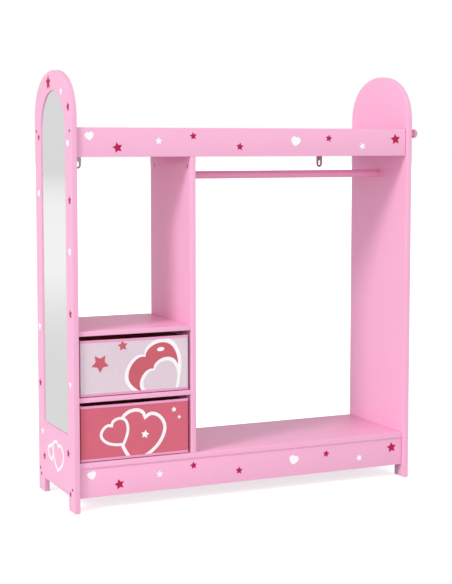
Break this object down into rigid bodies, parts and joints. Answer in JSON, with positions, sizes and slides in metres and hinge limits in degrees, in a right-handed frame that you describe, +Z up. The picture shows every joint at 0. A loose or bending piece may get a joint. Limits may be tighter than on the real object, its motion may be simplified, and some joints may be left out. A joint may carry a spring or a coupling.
{
  "type": "dress up storage unit with mirror",
  "caption": "Low open wardrobe for a child: arched side panels, top tray, clothes rail, seat board, side mirror, pegs, and a column of pull-out fabric boxes.",
  "frame": {"origin": "on the floor, at the centre of the whole unit's footprint, pegs included", "axes": "+Z up, along the height; the open front and the boxes' fronts face -Y; the mirror panel is at -X and the pegs at +X"},
  "size_m": [0.9754, 0.294, 1.0699],
  "materials": {
    "painted_board": "satin pink paint on fibreboard, with small printed stars and hearts",
    "painted_rail": "satin pink paint on a round rail",
    "painted_peg": "satin pink paint on turned wood",
    "mirror": "silvered sheet",
    "foam_tape": "white foam tape",
    "plated_steel": "zinc plated",
    "beech": "plain fluted dowel",
    "cardboard": "grey board, hidden in the fabric",
    "pale_fabric": "pale pink nonwoven fabric",
    "rose_fabric": "rose nonwoven fabric",
    "pink_binding": "folded pink binding tape"
  },
  "bodies": {
    "frame": {"side_panel_left": "painted_board", "side_panel_right": "painted_board", "divider_panel": "painted_board", "top_shelf": "painted_board", "top_front_rail": "painted_board", "top_back_rail": "painted_board", "seat_board": "painted_board", "base_front_rail": "painted_board", "base_back_rail": "painted_board", "middle_shelf": "painted_board", "lower_shelf": "painted_board", "clothes_rail": "painted_rail", "mirror_sheet": "mirror", "mirror_tape": "foam_tape", "peg_front": "painted_peg", "peg_rear": "painted_peg", "peg_screws": "plated_steel", "wall_strap_left": "plated_steel", "wall_strap_right": "plated_steel", "strap_screws": "plated_steel", "connecting_screws": "plated_steel", "divider_screws": "plated_steel", "cam_locks": "plated_steel", "cam_bolts": "plated_steel", "rail_dowels": "beech", "thin_dowels": "beech"},
    "upper_box": {"upper_box_fabric": "pale_fabric", "upper_box_stiffeners": "cardboard", "upper_box_lining": "rose_fabric", "upper_box_bottom_board": "rose_fabric", "upper_box_top_binding": "pink_binding", "upper_box_bottom_binding": "pink_binding"},
    "lower_box": {"lower_box_fabric": "rose_fabric", "lower_box_stiffeners": "cardboard", "lower_box_lining": "rose_fabric", "lower_box_bottom_board": "rose_fabric", "lower_box_top_binding": "pink_binding", "lower_box_bottom_binding": "pink_binding"}
  },
  "joints": [
    {"name": "upper_box_slide", "type": "slide", "parent": "frame", "child": "upper_box", "axis": [0, -1, 0], "range_m": [0, 0.24]},
    {"name": "lower_box_slide", "type": "slide", "parent": "frame", "child": "lower_box", "axis": [0, -1, 0], "range_m": [0, 0.24]}
  ]
}
